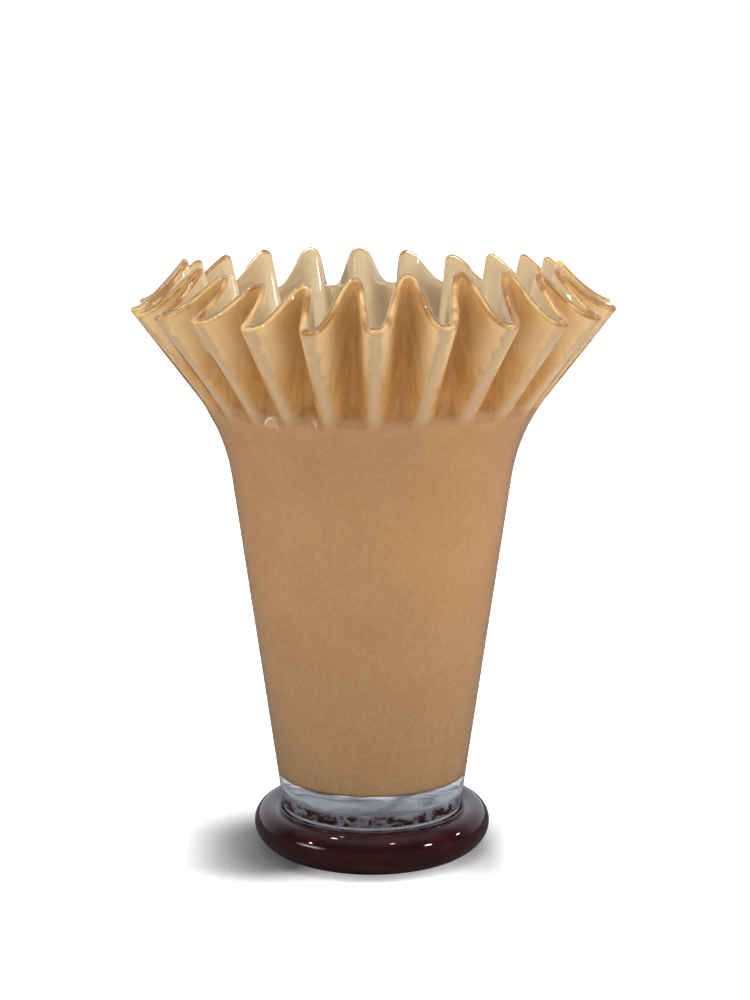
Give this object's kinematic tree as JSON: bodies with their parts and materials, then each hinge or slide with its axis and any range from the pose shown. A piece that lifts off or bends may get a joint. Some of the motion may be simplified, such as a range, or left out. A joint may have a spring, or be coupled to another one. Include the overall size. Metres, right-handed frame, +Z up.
{
  "type": "vase",
  "caption": "Tapered cased-glass vase whose flared mouth is drawn into radial pleats, with a thick clear base set in a rounded dark ring foot.",
  "frame": {"origin": "on the vase's axis, in the plane it stands on", "axes": "+Z up along the vase's axis, -Y towards the camera of the picture, +X to its right"},
  "size_m": [0.1962, 0.1975, 0.25],
  "materials": {
    "tan_cased_glass": "gloss blown glass: clear casing over an opaque tan layer, clear base and clear lip",
    "burgundy_glass": "gloss deep burgundy glass, almost opaque"
  },
  "bodies": {
    "root": {"blown_body": "tan_cased_glass", "foot_ring": "burgundy_glass"}
  },
  "joints": []
}
